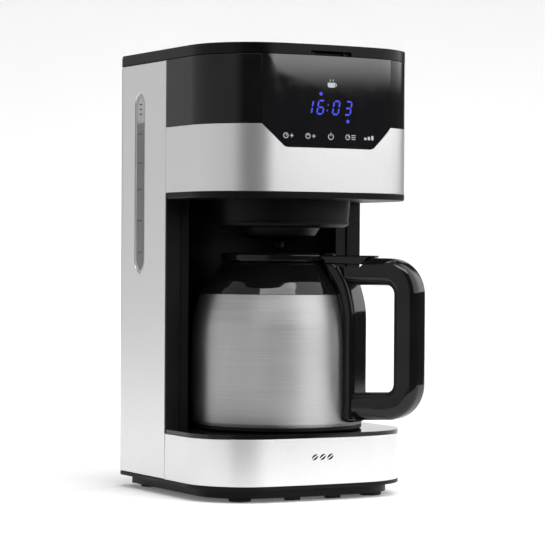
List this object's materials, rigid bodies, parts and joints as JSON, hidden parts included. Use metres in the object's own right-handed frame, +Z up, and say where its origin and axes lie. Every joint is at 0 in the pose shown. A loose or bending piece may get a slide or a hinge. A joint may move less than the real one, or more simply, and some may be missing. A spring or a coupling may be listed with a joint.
{
  "type": "drip coffee maker",
  "caption": "Upright drip coffee maker: brewing head over an open bay with a lidded steel vacuum jug, rear tank with side level window, hinged top lid, drip stop and rubber feet.",
  "frame": {"origin": "on the table, at the middle of the footprint, jug handle and cord gland included", "axes": "+Z up, -Y to the front where the display is, -X to the side with the water level window"},
  "size_m": [0.189, 0.2368, 0.36],
  "materials": {
    "silver": "satin silver",
    "gloss_black": "high gloss",
    "matte_black": "fine textured",
    "steel": "plain",
    "jug_steel": "brushed round the jug",
    "clear": "clear smoked plastic",
    "rubber": "matte",
    "silicone": "milky silicone",
    "aluminium": "cast",
    "board": "solder mask",
    "display": "lit segments"
  },
  "bodies": {
    "machine": {"base_band": "silver", "left_side_panel": "silver", "right_side_panel": "silver", "head_band": "silver", "jug_platform": "gloss_black", "upper_panel_left": "gloss_black", "upper_panel_right": "gloss_black", "front_lens": "gloss_black", "top_rear_strip": "gloss_black", "base_shell": "matte_black", "bottom_plate": "matte_black", "bay_wall": "matte_black", "rear_cover": "matte_black", "head_floor": "matte_black", "head_frame": "matte_black", "top_deck": "matte_black", "brew_tub": "matte_black", "drip_funnel": "matte_black", "valve_bridge": "matte_black", "filter_basket": "matte_black", "basket_bail": "matte_black", "spray_head": "matte_black", "tank_outlet": "matte_black", "bottom_screw_1": "steel", "bottom_screw_2": "steel", "rear_screw_1": "steel", "rear_screw_2": "steel", "lid_hinge_pin_left": "steel", "lid_hinge_pin_right": "steel", "heater_clamp": "steel", "gauge_window": "clear", "water_tank": "clear", "foot_front_left": "rubber", "foot_front_right": "rubber", "foot_rear_left": "rubber", "foot_rear_right": "rubber", "cord_gland": "rubber", "supply_hose": "silicone", "riser_pipe": "silicone", "permanent_filter": "silicone", "flow_heater": "aluminium", "thermostat": "aluminium", "control_board": "board", "touch_sensor": "board", "power_board": "board", "display_module": "display"},
    "top_lid": {"top_lid": "gloss_black", "lid_liner": "matte_black"},
    "drip_stop": {"drip_valve": "silicone", "valve_seal": "rubber", "drip_spring": "steel"},
    "jug": {"jug_shell": "jug_steel", "jug_foot": "matte_black", "jug_flask": "jug_steel", "jug_collar": "gloss_black", "jug_handle": "gloss_black"},
    "jug_lid": {"jug_lid": "gloss_black", "lid_gasket": "silicone", "lever_pin": "steel"},
    "thumb_lever": {"thumb_lever": "gloss_black"}
  },
  "joints": [
    {"name": "top_lid_hinge", "type": "hinge", "parent": "machine", "child": "top_lid", "pos_m": [0, 0.09986, 0.3558], "axis": [-1, 0, 0], "range_deg": [0, 96]},
    {"name": "drip_stop_lift", "type": "slide", "parent": "machine", "child": "drip_stop", "axis": [0, 0, 1], "range_m": [0, 0.003], "stiffness_N_per_m": 60, "springref_m": -0.004, "deforming": ["drip_spring"]},
    {"name": "jug_slide", "type": "slide", "parent": "machine", "child": "jug", "axis": [0, -1, 0], "range_m": [0, 0.2]},
    {"name": "jug_lid_turn", "type": "hinge", "parent": "jug", "child": "jug_lid", "pos_m": [0, 0.00336, 0.19], "axis": [0, 0, 1], "range_deg": [0, 60]},
    {"name": "thumb_lever_press", "type": "hinge", "parent": "jug_lid", "child": "thumb_lever", "pos_m": [0.01596, -0.02666, 0.1925], "axis": [0.8829, 0.4695, 0], "range_deg": [0, 2], "stiffness_Nm_per_rad": 0.3, "springref_deg": -2.86}
  ]
}
